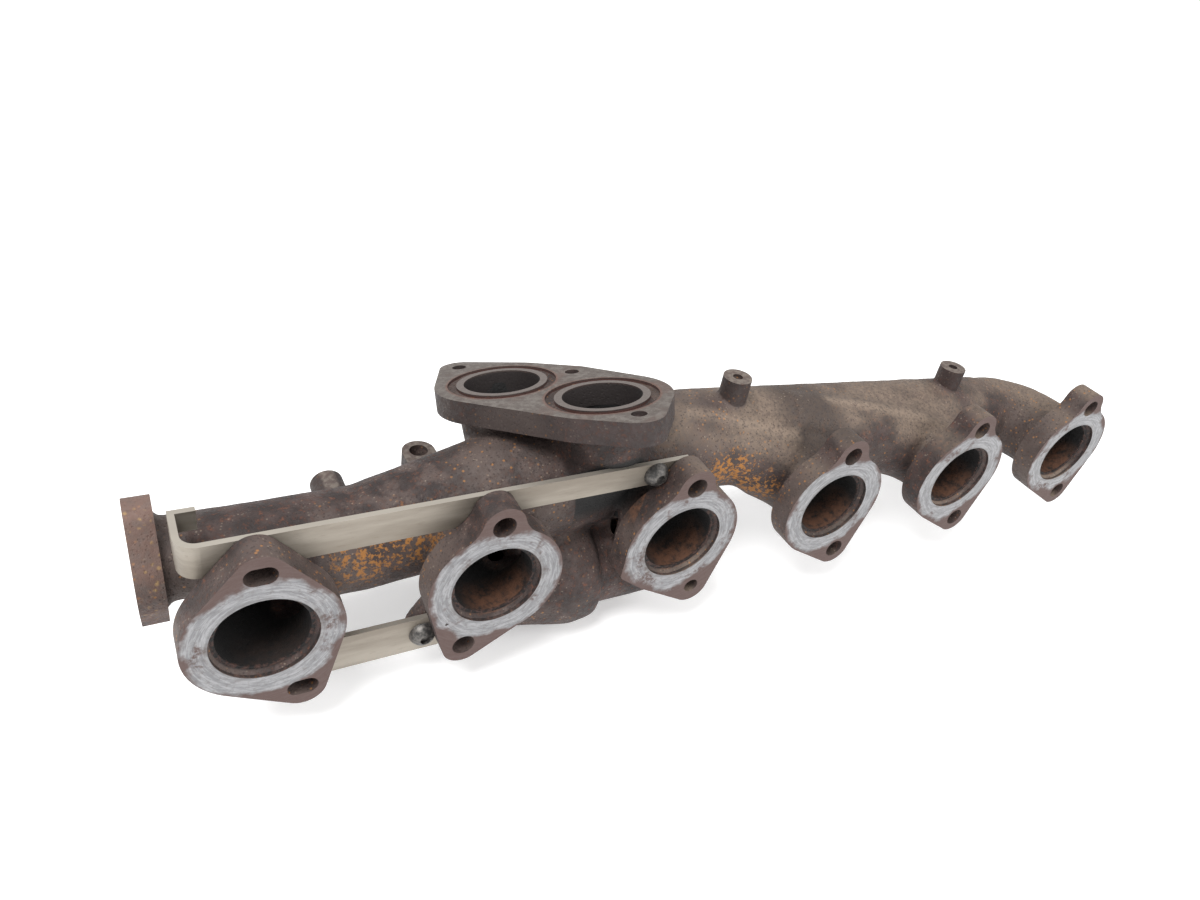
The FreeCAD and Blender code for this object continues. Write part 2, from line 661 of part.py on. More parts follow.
def rear_lug():
    """An eye at the back of the left log, with its hole upright."""
    body = doc.addObject("PartDesign::Body", "RearLug")
    place(body, "0", "0", "lug_top")
    outline = sketch_on(body, "XY_Plane", "LugOutline")
    add_outline(outline, [
        ("lug_x", "lug_root", "lug_radius", None),
        ("lug_x", "lug_back", "lug_radius", None)])
    pad(body, outline, "LugBlock", "lug_height", reverse=True)
    hole = sketch_on(body, "XY_Plane", "LugHole")
    add_circle(hole, "lug_x", "lug_back", "lug_hole_radius")
    pocket(body, hole, "LugCut")
    return body


def rear_boss():
    face = point("rear_boss_x", "rear_boss_end", "rear_boss_z")
    outside = cylinder("RearBossOutside", "rear_boss_radius", "rear_boss_length", face, -Y_AXIS)
    thread = cylinder("RearBossThread", "plug_radius", "plug_depth", face, -Y_AXIS)
    return cut("RearBoss", outside, thread)


# ---------------------------------------------------------------- brackets, bolts and plug

def upper_bracket():
    """A strip behind the flanges, turned back round the left end of the row, with a tab at its rear."""
    front = size("bracket_front")
    thick = size("sheet")
    left = size("strip_left")
    bend = size("strip_bend")
    rear = size("strip_return")
    tab = left + thick + size("strip_tab")
    corner = FreeCAD.Vector(left + bend, front + bend, 0)

    def on_bend(radius, angle):
        return corner + unit(angle) * radius

    def at(x, y):
        return FreeCAD.Vector(x, y, 0)

    outer = Part.Arc(on_bend(bend, -math.pi / 2), on_bend(bend, -3 * math.pi / 4), on_bend(bend, math.pi))
    inner = Part.Arc(on_bend(bend - thick, math.pi), on_bend(bend - thick, -3 * math.pi / 4),
                     on_bend(bend - thick, -math.pi / 2))
    outside = [at(size("strip_end"), front), at(left + bend, front)]
    web = [at(left, front + bend), at(left, rear), at(tab, rear), at(tab, rear - thick),
           at(left + thick, rear - thick), at(left + thick, front + bend)]
    inside = [at(left + bend, front + thick), at(size("strip_end"), front + thick),
              at(size("strip_end"), front)]
    edges = [Part.LineSegment(outside[0], outside[1]).toShape(), outer.toShape()]
    edges += [Part.LineSegment(a, b).toShape() for a, b in zip(web, web[1:])]
    edges.append(inner.toShape())
    edges += [Part.LineSegment(a, b).toShape() for a, b in zip(inside, inside[1:])]
    plan = doc.addObject("Part::Feature", "BracketPlan")
    plan.Shape = Part.Face(Part.Wire(edges))
    place(plan, "0", "0", "strip_left_bottom")
    strip = doc.addObject("Part::Extrusion", "BracketStrip")
    strip.Base = plan
    strip.Dir = Z_AXIS
    strip.DirMode = "Custom"
    strip.Solid = True
    bind(strip, LengthFwd="strip_top - strip_left_bottom")
    step = doc.addObject("Part::Box", "BracketStep")
    place(step, "port_pitch", "bracket_front - sheet", "strip_left_bottom - sheet")
    bind(step, Length="strip_end", Width="3 * sheet",
         Height="strip_right_bottom - strip_left_bottom + sheet")
    under_tab = doc.addObject("Part::Box", "BracketUnderTab")
    place(under_tab, "strip_left + sheet", "strip_return - 2 * sheet", "strip_left_bottom - sheet")
    bind(under_tab, Length="2 * strip_tab", Width="3 * sheet",
         Height="strip_tab_bottom - strip_left_bottom + sheet")
    bolt_hole = cylinder("BracketHole", "bolt_shank_radius", "3 * sheet",
                         point("upper_bolt_x", "bracket_front - sheet", "upper_bolt_z"), Y_AXIS)
    openings = fuse("BracketCuts", [step, under_tab, bolt_hole])
    return subpart(cut("UpperBracket", strip, openings), "upper_bracket")


def lower_bracket():
    strip = doc.addObject("Part::Box", "LowerStrip")
    place(strip, "lower_start", "bracket_front", "lower_bottom")
    bind(strip, Length="lower_end - lower_start", Width="sheet", Height="lower_top - lower_bottom")
    bolt_hole = cylinder("LowerStripHole", "bolt_shank_radius", "3 * sheet",
                         point("lower_bolt_x", "bracket_front - sheet", "lower_bolt_z"), Y_AXIS)
    return subpart(cut("LowerBracket", strip, bolt_hole), "lower_bracket")


def domed_head(name, radius, height, face, direction):
    """A low dome: the cap of a ball, standing on the face."""
    base = evaluate(radius)
    rise = evaluate(height)
    ball_radius = (base**2 + rise**2) / (2 * rise)
    cap = doc.addObject("Part::Sphere", name)
    cap.Radius = ball_radius
    cap.Angle1 = math.degrees(math.asin((ball_radius - rise) / ball_radius))
    cap.Placement = FreeCAD.Placement(face + direction * (rise - ball_radius), facing(direction))
    return cap


def bracket_bolt(side):
    face = point(side + "_bolt_x", "bracket_front", side + "_bolt_z")
    name = side.capitalize() + "Bolt"
    head = domed_head(name + "Head", "bolt_head_radius", "bolt_head_height", face, -Y_AXIS)
    shank = cylinder(name + "Shank", "bolt_shank_radius", "bolt_length", face, Y_AXIS)
    above = face - Y_AXIS * (size("bolt_head_height") + size("socket_depth"))
    socket = cylinder(name + "Socket", "socket_radius", "2 * socket_depth", above, Y_AXIS)
    return cut(name, fuse(name + "Solid", [head, shank]), socket)


def bracket_bolts():
    both = doc.addObject("Part::Compound", "BracketBolts")
    both.Links = [bracket_bolt("upper"), bracket_bolt("lower")]
    return subpart(both, "bracket_bolts")


def rear_plug():
    face = point("rear_boss_x", "rear_boss_end", "rear_boss_z")
    head = domed_head("PlugHead", "plug_head_radius", "plug_head", face, Y_AXIS)
    thread = cylinder("PlugThread", "plug_radius", "plug_depth", face, -Y_AXIS)
    return subpart(fuse("Plug", [head, thread]), "rear_plug")


# ---------------------------------------------------------------- the casting, section by section

for number in range(1, 7):
    port_flange(number)
turbo_flange()
egr_flange()

walls = log_line("Log")
hollows = log_line("LogInside", " - wall")
sections = [("collector", walls["collector"]), ("lower_chamber", chamber("Chamber")),
            ("log_left", walls["left"]), ("log_right", walls["right"])]
passages = [*hollows.values(), chamber("ChamberInside", " - wall")]
for side in ("left", "right"):
    sections.append(("turbo_neck_" + side, neck(side, "Neck" + side)))
    passages.append(neck(side, "NeckInside" + side, " - wall"))
for number in RUNNERS:
    sections.append(("runner_%d" % number, runner(number, "Runner%d" % number)))
    passages.append(runner(number, "RunnerInside%d" % number, " - wall"))
sections.append(("egr_neck", egr_neck("EgrNeck", "egr_neck_radius")))
passages.append(egr_neck("EgrNeckInside", "egr_bore_radius"))
sections += [("top_boss_left", boss("left")), ("top_boss_right", boss("right")),
             ("upper_pad", upper_pad()), ("lower_pad", lower_pad()),
             ("rear_lug", rear_lug()), ("rear_boss", rear_boss())]
passage = fuse("GasPassage", passages)
doc.recompute()


def touch(first, second):
    return first.Shape.BoundBox.intersect(second.Shape.BoundBox)


# A section is the largest solid left after the cut; the crumbs left where two skins cross are dropped.
for index, (label, outside) in enumerate(sections):
    earlier = [other for name, other in sections[:index] if touch(other, outside)]
    if touch(passage, outside):
        earlier.append(passage)
    tool = fuse(label.title().replace("_", "") + "Trim", earlier) if len(earlier) > 1 else earlier[0]
    section = cut(label.title().replace("_", "") + "Section", outside, tool)
    doc.recompute()
    piece = doc.addObject("Part::Feature", label.title().replace("_", "") + "Piece")
    piece.Shape = max(section.Shape.Solids, key=lambda solid: solid.Volume)
    subpart(piece, label)

upper_bracket()
lower_bracket()
bracket_bolts()
rear_plug()
doc.recompute()

# ---------------------------------------------------------------- checks and export

for obj in doc.Objects:
    if "Invalid" in obj.State or "Error" in obj.State:
        raise RuntimeError(obj.Label + " does not rebuild")
os.makedirs("parts", exist_ok=True)
for obj in SUBPARTS:
    shape = obj.Shape
    if shape.isNull() or not shape.isValid():
        raise RuntimeError(obj.Label + " is not a valid solid")
    solids = 2 if obj.Label == "bracket_bolts" else 1
    if len(shape.Solids) != solids:
        raise RuntimeError("%s has %d solids" % (obj.Label, len(shape.Solids)))
    shape.exportStep("parts/%s.step" % obj.Label)
    box = shape.BoundBox
    print("%-18s %9.0f mm3  x %7.1f %7.1f  y %6.1f %6.1f  z %6.1f %6.1f" % (
        obj.Label, shape.Volume, box.XMin, box.XMax, box.YMin, box.YMax, box.ZMin, box.ZMax))
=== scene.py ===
"""Looks of the exhaust manifold: a rusty iron casting, two sheet brackets, dome-headed bolts and a plug.

Metres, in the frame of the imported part: +X along the ports, +Y away from the cylinder head, +Z up.
"""
import math

import bmesh
import bpy
from mathutils import Matrix, Vector


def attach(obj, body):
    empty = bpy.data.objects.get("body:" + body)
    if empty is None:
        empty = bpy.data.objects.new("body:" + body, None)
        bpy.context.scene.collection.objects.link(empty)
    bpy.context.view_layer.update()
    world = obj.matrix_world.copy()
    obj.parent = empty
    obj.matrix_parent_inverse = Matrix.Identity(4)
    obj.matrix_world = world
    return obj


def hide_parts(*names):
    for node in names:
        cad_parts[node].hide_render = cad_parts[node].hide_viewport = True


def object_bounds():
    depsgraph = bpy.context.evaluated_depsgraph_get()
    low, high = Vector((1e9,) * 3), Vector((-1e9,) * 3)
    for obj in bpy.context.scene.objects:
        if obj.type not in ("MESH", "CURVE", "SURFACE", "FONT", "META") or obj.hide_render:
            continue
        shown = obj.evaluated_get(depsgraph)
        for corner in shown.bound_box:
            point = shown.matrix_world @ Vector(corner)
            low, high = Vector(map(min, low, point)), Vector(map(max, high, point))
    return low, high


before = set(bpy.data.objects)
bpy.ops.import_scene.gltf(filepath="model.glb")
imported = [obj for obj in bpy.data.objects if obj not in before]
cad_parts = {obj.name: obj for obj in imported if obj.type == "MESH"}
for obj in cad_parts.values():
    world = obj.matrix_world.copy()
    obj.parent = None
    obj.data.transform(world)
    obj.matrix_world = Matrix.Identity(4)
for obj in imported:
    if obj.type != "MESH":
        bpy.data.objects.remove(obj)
size_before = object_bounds()

ALONG = Vector((1, 0, 0))
BACK = Vector((0, 1, 0))
UP = Vector((0, 0, 1))

PORT_PITCH = 0.091
TURBO_MIDDLE = Vector((0.1355, 0.0605, 0.0524))
TURBO_ALONG = Vector((0.5066, -0.8094, 0.2970))
TURBO_NORMAL = Vector((-0.0776, 0.3003, 0.9507))
OUTLET_REACH = 0.02695
RIM_RADIUS = 0.021
RECESS_RADIUS = 0.025

CRISP_NODES = ["port_flange_%d" % number for number in range(1, 7)] + [
    "turbo_flange", "egr_flange", "top_boss_left", "top_boss_right", "rear_boss", "rear_lug"]
OTHER_NODES = ["upper_bracket", "lower_bracket", "bracket_bolts", "rear_plug"]
BLENDED_NODES = sorted(set(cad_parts) - set(CRISP_NODES) - set(OTHER_NODES))


# ---------------------------------------------------------------- shader helpers

class Recipe:
    """A material's node tree, with short ways to add the few kinds of node used here."""

    def __init__(self, name):
        self.material = bpy.data.materials.new(name)
        self.material.use_nodes = True
        self.tree = self.material.node_tree
        self.tree.nodes.clear()
        self.surface = self.tree.nodes.new("ShaderNodeBsdfPrincipled")
        output = self.tree.nodes.new("ShaderNodeOutputMaterial")
        self.tree.links.new(self.surface.outputs["BSDF"], output.inputs["Surface"])
        self.place = self.tree.nodes.new("ShaderNodeTexCoord").outputs["Object"]

    def put(self, value, socket):
        """Link an output to a socket, or set a constant on it."""
        if isinstance(value, bpy.types.NodeSocket):
            self.tree.links.new(value, socket)
        else:
            socket.default_value = value

    def add(self, kind, inputs, **settings):
        node = self.tree.nodes.new("ShaderNode" + kind)
        for name, value in settings.items():
            setattr(node, name, value)
        for key, value in inputs.items():
            self.put(value, node.inputs[key])
        return node

    def math(self, operation, first, second=0.0):
        return self.add("Math", {0: first, 1: second}, operation=operation).outputs[0]

    def clamp(self, value):
        return self.add("Clamp", {0: value}).outputs[0]

    def dot(self, direction, middle=Vector((0, 0, 0))):
        """How far the point is from a middle, along a direction."""
        offset = self.add("VectorMath", {0: self.place, 1: middle}, operation="SUBTRACT").outputs[0]
        return self.add("VectorMath", {0: offset, 1: direction}, operation="DOT_PRODUCT").outputs["Value"]

    def distance(self, middle):
        return self.add("VectorMath", {0: self.place, 1: middle}, operation="DISTANCE").outputs["Value"]

    def line_distance(self, start, finish):
        """How far the point is from the straight line between two points."""
        step = Vector(finish) - Vector(start)
        share = self.clamp(self.math("DIVIDE", self.dot(step.normalized(), Vector(start)), step.length))
        nearest = self.add("VectorMath", {0: share, 1: step, 2: start}, operation="MULTIPLY_ADD").outputs[0]
        return self.distance(nearest)

    def hypot(self, first, second):
        first_square = self.math("MULTIPLY", first, first)
        second_square = self.math("MULTIPLY", second, second)
        return self.math("SQRT", self.math("ADD", first_square, second_square))

    def step(self, value, low, high):
        """0 below low and 1 above high; swap them to turn it round."""
        inputs = {"Value": value, "From Min": min(low, high), "From Max": max(low, high),
                  "To Min": float(low > high), "To Max": float(low < high)}
        return self.add("MapRange", inputs, interpolation_type="SMOOTHSTEP").outputs[0]

    def both(self, *masks):
        joint = masks[0]
        for mask in masks[1:]:
            joint = self.math("MULTIPLY", joint, mask)
        return joint

    def either(self, *masks):
        joint = masks[0]
        for mask in masks[1:]:
            joint = self.math("MAXIMUM", joint, mask)
        return joint

    def noise(self, scale, detail=4.0, roughness=0.55, vector=None, seed=0.0):
        inputs = {"Vector": vector or self.place, "W": seed, "Scale": scale, "Detail": detail,
                  "Roughness": roughness}
        return self.add("TexNoise", inputs, noise_dimensions="4D").outputs[0]

    def specks(self, scale, reach, seed=0.0):
        """Small spots scattered over the surface."""
        shifted = self.add("VectorMath", {0: self.place, 1: (seed, seed, seed)}, operation="ADD").outputs[0]
        cells = self.add("TexVoronoi", {"Vector": shifted, "Scale": scale, "Randomness": 1.0})
        return self.step(cells.outputs["Distance"], reach, reach * 0.45)

    def mix(self, share, first, second):
        node = self.add("Mix", {0: share}, data_type="RGBA")
        self.put(self.colour(first), node.inputs[6])
        self.put(self.colour(second), node.inputs[7])
        return node.outputs[2]

    def paint(self, under, over, *masks):
        """Lay one colour over another where all the masks are; a plain number thins the coat."""
        return self.mix(self.both(*masks), under, over)

    def mix_value(self, share, first, second):
        return self.add("Mix", {0: share, 2: first, 3: second}, data_type="FLOAT").outputs[0]

    def colour(self, value):
        """Add the alpha that a colour socket wants; a link passes through."""
        return (*value, 1.0) if isinstance(value, tuple) and len(value) == 3 else value

    def facing(self, direction):
        """How much the surface faces a direction, from -1 to 1."""
        normal = self.add("NewGeometry", {}).outputs["Normal"]
        return self.add("VectorMath", {0: normal, 1: direction}, operation="DOT_PRODUCT").outputs["Value"]

    def finish(self, colour, roughness, metallic=0.0, height=None, depth=0.0003):
        self.put(self.colour(colour), self.surface.inputs["Base Color"])
        self.put(roughness, self.surface.inputs["Roughness"])
        self.put(metallic, self.surface.inputs["Metallic"])
        if height is not None:
            bump = self.add("Bump", {"Strength": 1.0, "Distance": depth, "Height": height})
            self.put(bump.outputs[0], self.surface.inputs["Normal"])
        return self.material


# ---------------------------------------------------------------- rusty iron

PURPLE_BROWN = (0.052, 0.030, 0.026)
DARK_MAROON = (0.017, 0.010, 0.009)
GREY_BROWN = (0.078, 0.056, 0.048)
DUSTY_TAN = (0.150, 0.110, 0.082)
RED_RUST = (0.110, 0.042, 0.024)
ORANGE_RUST = (0.360, 0.150, 0.030)
PALE_SPECK = (0.260, 0.210, 0.160)
PALE_CREST = (0.230, 0.172, 0.128)
SOOT = (0.004, 0.0035, 0.0035)
INNER_RUST = (0.095, 0.040, 0.020)

# Orange rust: the middle of a patch, its reach and its strength.
ORANGE_PATCHES = [
    ((0.042, 0.024, 0.008), 0.022, 0.75),
    ((0.062, 0.024, 0.012), 0.020, 0.85),
    ((0.222, 0.027, 0.012), 0.021, 0.9),
    ((0.240, 0.024, 0.002), 0.020, 0.8),
]

# The crests of the pipes from ports 4 and 5, where they rise out of the right log.
CRESTS = [
    ((0.205, 0.044, 0.040), (0.262, 0.030, 0.026)),
    ((0.291, 0.043, 0.035), (0.352, 0.029, 0.0235)),
]
CREST_SLOPE = (0.011, 0.0)
# The pale crest line is partly dust and partly a painted highlight along the crest.
CREST_DUST_AND_HIGHLIGHT = (0.0060, 0.0005)
CREST_RELIEF = 4.0

# Where a mask begins and where it is full, along the row of ports.
DUST_START = (0.150, 0.205)
LEFT_TOP_START = (0.02, 0.06)
LEFT_TOP_END = (0.14, 0.11)
# Painted shade: the valley between the crests of pipes 4 and 5, on upward faces.
PAINTED_SHADE_START = (0.250, 0.268)
PAINTED_SHADE_END = (0.302, 0.284)

# The same for the gas passages: out from the axis, and inwards from the mouth.
PASSAGE_SIDE = (0.0192, 0.0184)
PASSAGE_MOUTH = (0.0003, 0.0008)
PASSAGE_END = (0.066, 0.055)
OUTLET_SIDE = (0.0190, 0.0181)
OUTLET_MOUTH = (-0.0004, -0.0010)
OUTLET_END = (-0.060, -0.050)
RUST_END = (0.024, 0.010)
PAST_PORT_1 = (0.03, 0.06)

SKY_SIDE = Vector((0.1, -0.25, 0.96))
LOW_SIDE = Vector((-0.35, 0, 0.94))
CAST_RELIEF = 0.0006


def iron_skin(recipe):
    """Colour, roughness and relief of the as-cast surface, with painted shade in the valley between the
    crests of pipes 4 and 5, and pale crest lines that are partly dust and partly painted highlight.
    """
    broad = recipe.noise(22.0, 3.0, seed=1.0)
    middle = recipe.noise(90.0, 5.0, 0.6, seed=2.0)
    fine = recipe.noise(420.0, 5.0, 0.65, seed=3.0)
    grain = recipe.noise(1500.0, 3.0, 0.6, seed=4.0)
    colour = recipe.mix(recipe.step(middle, 0.38, 0.66), DARK_MAROON, PURPLE_BROWN)
    colour = recipe.paint(colour, GREY_BROWN, recipe.step(broad, 0.42, 0.66))
    colour = recipe.paint(colour, RED_RUST, recipe.step(fine, 0.52, 0.72), recipe.step(broad, 0.62, 0.38))

    along = recipe.dot(ALONG)
    up = recipe.step(recipe.facing(SKY_SIDE), 0.35, 0.95)
    stripe_noise = recipe.noise(16.0, 3.0, 0.5, seed=9.0)
    dust_share = recipe.mix_value(recipe.step(fine, 0.35, 0.6), 0.45, 0.95)
    colour = recipe.paint(colour, DUSTY_TAN, up, recipe.step(along, *DUST_START),
                          recipe.step(stripe_noise, 0.38, 0.55), dust_share)
    colour = recipe.paint(colour, GREY_BROWN, up, recipe.step(along, *LEFT_TOP_START),
                          recipe.step(along, *LEFT_TOP_END), recipe.step(middle, 0.42, 0.62), 0.6)
    # Painted shade: dark maroon on the upward faces in the valley between the crests of pipes 4 and 5.
    colour = recipe.paint(colour, DARK_MAROON, recipe.step(along, *PAINTED_SHADE_START),
                          recipe.step(along, *PAINTED_SHADE_END), up, 0.7)

    slopes = []
    for start, finish in CRESTS:
        from_crest = recipe.line_distance(start, finish)
        slopes.append(recipe.step(from_crest, *CREST_SLOPE))
        # Pale line along each crest: partly dust, partly a painted highlight where the crest catches the
        # light.
        colour = recipe.paint(colour, PALE_CREST, recipe.step(from_crest, *CREST_DUST_AND_HIGHLIGHT),
                              recipe.step(fine, 0.32, 0.55), 0.45)

    for middle_point, reach, amount in ORANGE_PATCHES:
        near = recipe.step(recipe.distance(middle_point), reach, reach * 0.25)
        broken = recipe.step(recipe.math("ADD", fine, recipe.math("MULTIPLY", near, 0.10)), 0.57, 0.66)
        colour = recipe.paint(colour, ORANGE_RUST, near, broken, amount)

    flecks = recipe.specks(520.0, 0.26, seed=0.3)
    colour = recipe.paint(colour, PALE_SPECK, flecks, recipe.step(middle, 0.45, 0.60), 0.45)
    orange_flecks = recipe.specks(300.0, 0.22, seed=0.7)
    colour = recipe.paint(colour, ORANGE_RUST, orange_flecks, recipe.step(broad, 0.40, 0.55), 0.5)
    pits = recipe.specks(650.0, 0.34, seed=0.1)
    colour = recipe.paint(colour, DARK_MAROON, pits, 0.5)

    roughness = recipe.mix_value(recipe.step(fine, 0.35, 0.65), 0.62, 0.86)
    relief = recipe.math("ADD", recipe.math("MULTIPLY", fine, 0.8), recipe.math("MULTIPLY", grain, 0.35))
    relief = recipe.math("SUBTRACT", relief, recipe.math("MULTIPLY", pits, 0.25))
    for slope in slopes:
        relief = recipe.math("ADD", relief, recipe.math("MULTIPLY", slope, CREST_RELIEF))
    return colour, roughness, relief


def port_place(recipe):
    """Distance from the nearest port's axis, and the place across and above that port."""
    shifted = recipe.math("ADD", recipe.dot(ALONG), PORT_PITCH / 2)
    across = recipe.math("SUBTRACT", recipe.math("FLOORED_MODULO", shifted, PORT_PITCH), PORT_PITCH / 2)
    height = recipe.dot(UP)
    return recipe.hypot(across, height), across, height


def port_inside(recipe):
    """1 inside the ports' gas passages."""
    radius, across, height = port_place(recipe)
    back = recipe.dot(BACK)
    return recipe.both(recipe.step(radius, *PASSAGE_SIDE), recipe.step(back, *PASSAGE_MOUTH),
                       recipe.step(back, *PASSAGE_END))


def outlet_radius(recipe):
    """Distance from the nearer turbo outlet's axis."""
    along = recipe.dot(TURBO_ALONG, TURBO_MIDDLE)
    across = recipe.dot(TURBO_NORMAL.cross(TURBO_ALONG), TURBO_MIDDLE)
    reach = recipe.math("SUBTRACT", recipe.math("ABSOLUTE", along), OUTLET_REACH)
    return recipe.hypot(reach, across)


def outlet_inside(recipe):
    """1 inside the turbo outlets."""
    radius = outlet_radius(recipe)
    depth = recipe.dot(TURBO_NORMAL, TURBO_MIDDLE)
    return recipe.both(recipe.step(radius, *OUTLET_SIDE), recipe.step(depth, *OUTLET_MOUTH),
                       recipe.step(depth, *OUTLET_END))


def sooty(recipe, colour, roughness):
    """Blacken the insides, with rust along their lower sides, and hardly any in port 1."""
    inside = recipe.either(port_inside(recipe), outlet_inside(recipe))
    fine = recipe.noise(260.0, 5.0, 0.65, seed=6.0)
    low = recipe.step(recipe.facing(LOW_SIDE), 0.30, 0.95)
    near = recipe.step(recipe.dot(BACK), *RUST_END)
    amount = recipe.mix_value(recipe.step(recipe.dot(ALONG), *PAST_PORT_1), 0.12, 1.0)
    lining = recipe.mix(recipe.both(low, near, amount, recipe.step(fine, 0.30, 0.60)), SOOT, INNER_RUST)
    return recipe.mix(inside, colour, lining), recipe.mix_value(inside, roughness, 0.75)


def iron_material():
    recipe = Recipe("rusty_iron")
    colour, roughness, relief = iron_skin(recipe)
    colour, roughness = sooty(recipe, colour, roughness)
    return recipe.finish(colour, roughness, height=relief, depth=CAST_RELIEF)


# ---------------------------------------------------------------- machined faces

SILVER = (0.160, 0.160, 0.166)
WHITE_STREAK = (0.270, 0.270, 0.276)
STEEL_GREY = (0.115, 0.105, 0.100)
FACE_RUST = (0.062, 0.030, 0.023)
TURBO_DARK = (0.072, 0.056, 0.047)
TURBO_PALE = (0.130, 0.112, 0.098)
TURBO_RUST = (0.085, 0.045, 0.034)
RING_GREY = (0.110, 0.100, 0.092)
GROOVE_RED = (0.050, 0.018, 0.013)
EGR_RED = (0.100, 0.048, 0.034)
# Painted light for the EGR flange's upward faces.
EGR_TOP_LIGHT = (0.170, 0.108, 0.088)
EGR_FLECK = (0.300, 0.190, 0.070)
BOSS_DARK = (0.080, 0.058, 0.050)
BOSS_PALE = (0.150, 0.125, 0.105)

# Where a mask begins and where it is full on a port's face, out from its axis or inwards from the face.
EAR_RUST = (0.0345, 0.0375)
EAR_RAGGEDNESS = 0.016
SEAT_EDGE = (0.0222, 0.0208)
SEAT_SIDE = (0.0200, 0.0198)
SEAT_MOUTH = (0.0003, 0.0007)
SEAT_END = (0.0046, 0.0040)
GASKET_FACE = (0.0005, 0.0001)

# The same on the turbo flange, below its face.
TURBO_FACE = (-0.0006, -0.0002)
GROOVE_MOUTH = (-0.0003, -0.0008)
GROOVE_END = (-0.0040, -0.0030)


def flange_material():
    """Port flanges: cast edges, and a gasket face that is bright round the port and rusty at its ears."""
    recipe = Recipe("port_flange")
    colour, roughness, relief = iron_skin(recipe)
    colour, roughness = sooty(recipe, colour, roughness)
    radius, across, height = port_place(recipe)
    rings = recipe.add("CombineXYZ", {0: recipe.math("MULTIPLY", radius, 9.0), 1: across, 2: height})
    streak = recipe.noise(130.0, 5.0, 0.7, vector=rings.outputs[0], seed=11.0)
    blotch = recipe.noise(70.0, 4.0, 0.6, seed=12.0)
    fine = recipe.noise(500.0, 4.0, 0.7, seed=13.0)
    face = recipe.mix(recipe.step(streak, 0.40, 0.62), SILVER, WHITE_STREAK)
    face = recipe.paint(face, STEEL_GREY, recipe.step(fine, 0.50, 0.68), 0.55)
    ragged = recipe.math("ADD", radius, recipe.math("MULTIPLY", blotch, EAR_RAGGEDNESS))
    rusty = recipe.either(recipe.step(ragged, *EAR_RUST),
                          recipe.both(recipe.step(blotch, 0.52, 0.64), recipe.step(fine, 0.38, 0.58)))
    face = recipe.paint(face, FACE_RUST, rusty, 0.9)
    face = recipe.paint(face, STEEL_GREY, recipe.step(radius, *SEAT_EDGE),
                        recipe.step(blotch, 0.42, 0.60), 0.45)

    back = recipe.dot(BACK)
    on_face = recipe.both(recipe.step(back, *GASKET_FACE), recipe.step(recipe.facing(-BACK), 0.5, 0.9))
    colour = recipe.mix(on_face, colour, face)
    roughness = recipe.mix_value(on_face, roughness, recipe.mix_value(rusty, 0.42, 0.8))
    metallic = recipe.both(on_face, recipe.math("SUBTRACT", 0.65, recipe.math("MULTIPLY", rusty, 0.6)))
    seat_colour = recipe.mix(recipe.step(fine, 0.45, 0.6), SOOT, FACE_RUST)
    colour = recipe.paint(colour, seat_colour, recipe.step(radius, *SEAT_SIDE),
                          recipe.step(back, *SEAT_MOUTH), recipe.step(back, *SEAT_END), 0.85)
    height_map = recipe.mix_value(on_face, relief, recipe.math("MULTIPLY", streak, 0.25))
    return recipe.finish(colour, roughness, metallic, height_map, 0.0005)


def turbo_material():
    """Turbo flange: a grey-brown machined face, reddish seal recesses and cast edges."""
    recipe = Recipe("turbo_flange")
    colour, roughness, relief = iron_skin(recipe)
    colour, roughness = sooty(recipe, colour, roughness)
    radius = outlet_radius(recipe)
    depth = recipe.dot(TURBO_NORMAL, TURBO_MIDDLE)
    fine = recipe.noise(300.0, 5.0, 0.7, seed=21.0)
    blotch = recipe.noise(60.0, 4.0, 0.6, seed=22.0)
    face = recipe.mix(recipe.step(fine, 0.42, 0.62), TURBO_DARK, TURBO_PALE)
    face = recipe.paint(face, TURBO_RUST, recipe.step(blotch, 0.50, 0.66), 0.6)
    near_recess = recipe.step(radius, RECESS_RADIUS + 0.0016, RECESS_RADIUS + 0.0002)
    face = recipe.paint(face, RED_RUST, near_recess, 0.65)
    on_ring = recipe.step(radius, RIM_RADIUS + 0.0006, RIM_RADIUS - 0.0002)
    face = recipe.paint(face, RING_GREY, on_ring, 0.75)
    facing = recipe.facing(TURBO_NORMAL)
    on_face = recipe.both(recipe.step(depth, *TURBO_FACE), recipe.step(facing, 0.5, 0.9))
    colour = recipe.paint(colour, DARK_MAROON, recipe.step(facing, 0.5, 0.2), 0.6)
    colour = recipe.mix(on_face, colour, face)
    colour = recipe.paint(colour, GROOVE_RED, recipe.step(radius, RECESS_RADIUS + 0.0003, RECESS_RADIUS),
                          recipe.step(radius, RIM_RADIUS - 0.0003, RIM_RADIUS),
                          recipe.step(depth, *GROOVE_MOUTH), recipe.step(depth, *GROOVE_END))
    roughness = recipe.mix_value(on_face, roughness, 0.55)
    metallic = recipe.math("MULTIPLY", on_face, 0.25)
    return recipe.finish(colour, roughness, metallic, recipe.mix_value(on_face, relief, fine), 0.0004)


def egr_material():
    """EGR flange: red-brown with yellow flecks, and painted light that makes its upward faces paler."""
    recipe = Recipe("egr_flange")
    colour, roughness, relief = iron_skin(recipe)
    fine = recipe.noise(260.0, 5.0, 0.65, seed=31.0)
    colour = recipe.paint(colour, EGR_RED, recipe.step(fine, 0.36, 0.58), 0.55)
    # Painted light: the faces turned upwards are made paler pink.
    colour = recipe.paint(colour, EGR_TOP_LIGHT, recipe.step(recipe.facing(UP), 0.1, 0.8), 0.5)
    yellow = recipe.specks(330.0, 0.34, seed=0.5)
    colour = recipe.paint(colour, EGR_FLECK, yellow, recipe.step(fine, 0.45, 0.6), 0.6)
    return recipe.finish(colour, roughness, height=relief, depth=CAST_RELIEF)


